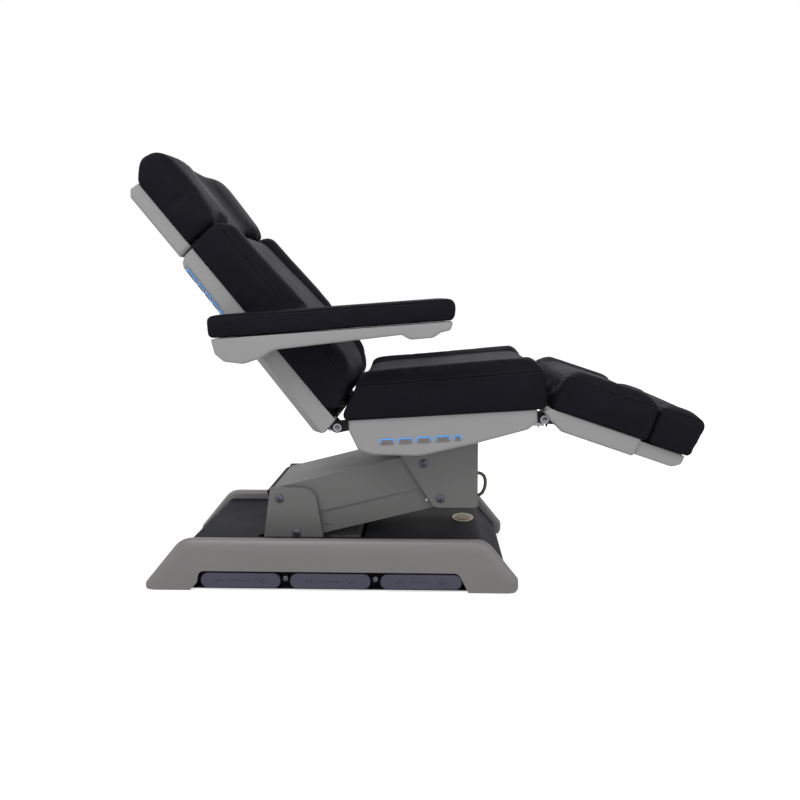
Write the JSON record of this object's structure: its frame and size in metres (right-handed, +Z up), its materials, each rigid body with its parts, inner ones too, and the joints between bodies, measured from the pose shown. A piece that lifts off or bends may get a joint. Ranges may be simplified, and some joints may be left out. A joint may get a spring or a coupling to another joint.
{
  "type": "procedure table",
  "caption": "Powered treatment couch with backrest, sliding headrest, leg and foot sections, armrests, a parallelogram lift and foot pedals along the base.",
  "frame": {"origin": "centre of the couch's footprint box, on the floor", "axes": "+X towards the foot end, +Y towards a seated person's left, +Z up"},
  "size_m": [1.6792, 0.804, 1.2999],
  "materials": {
    "frame_black": "satin",
    "deck_black": "satin",
    "skirt_grey": "satin",
    "pedal_blue": "satin",
    "steel": "satin",
    "metal_grey": "satin",
    "badge_gold": "satin",
    "cable_olive": "satin",
    "shell_grey": "satin",
    "upholstery": "satin",
    "key_blue": "satin"
  },
  "bodies": {
    "base": {"base_frame": "frame_black", "deck_panel": "deck_black", "right_skirt": "skirt_grey", "left_skirt": "skirt_grey", "levelling_feet": "deck_black", "pedal_trays": "deck_black", "pedal_bosses": "steel", "lower_bracket": "metal_grey", "control_box": "metal_grey", "power_inlet": "deck_black", "lower_pivot_shafts": "steel", "badge_plate": "badge_gold"},
    "right_pedal_1_body": {"right_pedal_1": "pedal_blue"},
    "right_pedal_2_body": {"right_pedal_2": "pedal_blue"},
    "right_pedal_3_body": {"right_pedal_3": "pedal_blue"},
    "left_pedal_1_body": {"left_pedal_1": "pedal_blue"},
    "left_pedal_2_body": {"left_pedal_2": "pedal_blue"},
    "left_pedal_3_body": {"left_pedal_3": "pedal_blue"},
    "upper_arm_body": {"upper_arm": "frame_black", "upper_arm_cover": "metal_grey", "upper_cover_strip": "deck_black"},
    "lower_arm_body": {"lower_arm": "frame_black", "lower_arm_cover": "metal_grey", "lower_cover_screws": "steel"},
    "lift_motor": {"lift_actuator": "frame_black"},
    "lift_rod": {"lift_actuator_rod": "steel"},
    "column": {"upper_bracket": "metal_grey", "upper_pivot_shafts": "steel", "cable_loop": "cable_olive", "cable_grommets": "deck_black"},
    "tilt_motor": {"tilt_actuator": "frame_black"},
    "tilt_rod": {"tilt_actuator_rod": "steel"},
    "seat": {"seat_frame": "frame_black", "seat_shell": "shell_grey", "seat_cushion": "upholstery", "seat_keypads": "key_blue", "hinge_pins": "steel", "leg_actuator": "frame_black"},
    "back_motor": {"back_actuator": "frame_black"},
    "back_rod": {"back_actuator_rod": "steel"},
    "leg_rod": {"leg_actuator_rod": "steel"},
    "back": {"back_frame": "frame_black", "back_shell": "shell_grey", "back_cushion": "upholstery", "back_keypads": "key_blue", "armrest_hubs": "frame_black"},
    "head_posts": {"headrest_posts": "steel"},
    "head": {"headrest_frame": "frame_black", "headrest_shell": "shell_grey", "headrest_cushion": "upholstery"},
    "right_armrest": {"right_armrest_shell": "shell_grey", "right_armrest_pad": "upholstery"},
    "left_armrest": {"left_armrest_shell": "shell_grey", "left_armrest_pad": "upholstery"},
    "leg": {"leg_frame": "frame_black", "leg_shell": "shell_grey", "leg_cushion": "upholstery"},
    "foot": {"foot_frame": "frame_black", "foot_shell": "shell_grey", "foot_cushion": "upholstery"}
  },
  "joints": [
    {"name": "lift", "type": "hinge", "parent": "base", "child": "upper_arm_body", "pos_m": [-0.436, 0, 0.257], "axis": [0, -1, 0], "range_deg": [-5, 40]},
    {"name": "lower_arm_turn", "type": "hinge", "parent": "base", "child": "lower_arm_body", "pos_m": [-0.384, 0, 0.144], "axis": [0, -1, 0], "range_deg": [-5, 40]},
    {"name": "column_level", "type": "hinge", "parent": "upper_arm_body", "child": "column", "pos_m": [0.02586, 0, 0.37216], "axis": [0, -1, 0], "range_deg": [-40, 5]},
    {"name": "lift_motor_swing", "type": "hinge", "parent": "base", "child": "lift_motor", "pos_m": [-0.705, 0, 0.065], "axis": [0, -1, 0], "range_deg": [-1, 4]},
    {"name": "lift_rod_slide", "type": "slide", "parent": "lift_motor", "child": "lift_rod", "axis": [1, 0, 0], "range_m": [-0.008, 0.053]},
    {"name": "seat_tilt", "type": "hinge", "parent": "column", "child": "seat", "pos_m": [-0.02, 0, 0.47], "axis": [0, -1, 0], "range_deg": [-3.3, 12]},
    {"name": "tilt_motor_swing", "type": "hinge", "parent": "column", "child": "tilt_motor", "pos_m": [0.15, 0, 0.268], "axis": [0, -1, 0], "range_deg": [-1, 2]},
    {"name": "tilt_rod_slide", "type": "slide", "parent": "tilt_motor", "child": "tilt_rod", "axis": [0, 0, 1], "range_m": [-0.011, 0.037]},
    {"name": "back_recline", "type": "hinge", "parent": "seat", "child": "back", "pos_m": [-0.236, 0, 0.499], "axis": [0, -1, 0], "range_deg": [-4, 51]},
    {"name": "back_motor_swing", "type": "hinge", "parent": "seat", "child": "back_motor", "pos_m": [0.11, 0, 0.454], "axis": [0, -1, 0], "range_deg": [-2, 7]},
    {"name": "back_rod_slide", "type": "slide", "parent": "back_motor", "child": "back_rod", "axis": [-1, 0, 0], "range_m": [-0.056, 0.01]},
    {"name": "leg_raise", "type": "hinge", "parent": "seat", "child": "leg", "pos_m": [0.388, 0, 0.524], "axis": [0, -1, 0], "range_deg": [-65, 19]},
    {"name": "leg_rod_slide", "type": "slide", "parent": "seat", "child": "leg_rod", "axis": [1, 0, 0], "range_m": [-0.057, 0.018]},
    {"name": "foot_slide", "type": "slide", "parent": "leg", "child": "foot", "axis": [0.9449, 0, -0.3272], "range_m": [0, 0.1]},
    {"name": "headrest_slide", "type": "slide", "parent": "back", "child": "head_posts", "axis": [-0.6266, 0, 0.7793], "range_m": [0, 0.08]},
    {"name": "headrest_tilt", "type": "hinge", "parent": "head_posts", "child": "head", "pos_m": [-0.67515, 0, 1.0211], "axis": [0, -1, 0], "range_deg": [0, 40]},
    {"name": "right_armrest_turn", "type": "hinge", "parent": "back", "child": "right_armrest", "pos_m": [-0.471, -0.345, 0.764], "axis": [0, -1, 0], "range_deg": [-50, 120]},
    {"name": "left_armrest_turn", "type": "hinge", "parent": "back", "child": "left_armrest", "pos_m": [-0.471, 0.345, 0.764], "axis": [0, -1, 0], "range_deg": [-50, 120]},
    {"name": "right_pedal_1_rock", "type": "hinge", "parent": "base", "child": "right_pedal_1_body", "pos_m": [-0.537, -0.27, 0.035], "axis": [0, 0, 1], "range_deg": [-3, 3], "stiffness_Nm_per_rad": 6},
    {"name": "right_pedal_2_rock", "type": "hinge", "parent": "base", "child": "right_pedal_2_body", "pos_m": [-0.26, -0.27, 0.035], "axis": [0, 0, 1], "range_deg": [-3, 3], "stiffness_Nm_per_rad": 6},
    {"name": "right_pedal_3_rock", "type": "hinge", "parent": "base", "child": "right_pedal_3_body", "pos_m": [0.017, -0.27, 0.035], "axis": [0, 0, 1], "range_deg": [-3, 3], "stiffness_Nm_per_rad": 6},
    {"name": "left_pedal_1_rock", "type": "hinge", "parent": "base", "child": "left_pedal_1_body", "pos_m": [-0.537, 0.27, 0.035], "axis": [0, 0, 1], "range_deg": [-3, 3], "stiffness_Nm_per_rad": 6},
    {"name": "left_pedal_2_rock", "type": "hinge", "parent": "base", "child": "left_pedal_2_body", "pos_m": [-0.26, 0.27, 0.035], "axis": [0, 0, 1], "range_deg": [-3, 3], "stiffness_Nm_per_rad": 6},
    {"name": "left_pedal_3_rock", "type": "hinge", "parent": "base", "child": "left_pedal_3_body", "pos_m": [0.017, 0.27, 0.035], "axis": [0, 0, 1], "range_deg": [-3, 3], "stiffness_Nm_per_rad": 6}
  ],
  "couplings": [
    {"joint": "lower_arm_turn", "follows": "lift", "ratio": 1},
    {"joint": "column_level", "follows": "lift", "ratio": -1},
    {"joint": "lift_motor_swing", "follows": "lift", "ratio": 0.085},
    {"joint": "lift_rod_slide", "follows": "lift", "m_per_rad": 0.072365},
    {"joint": "tilt_motor_swing", "follows": "seat_tilt", "ratio": 0.096},
    {"joint": "tilt_rod_slide", "follows": "seat_tilt", "m_per_rad": 0.16851},
    {"joint": "back_motor_swing", "follows": "back_recline", "ratio": 0.107},
    {"joint": "back_rod_slide", "follows": "back_recline", "m_per_rad": -0.059931},
    {"joint": "leg_rod_slide", "follows": "leg_raise", "m_per_rad": 0.048128}
  ]
}
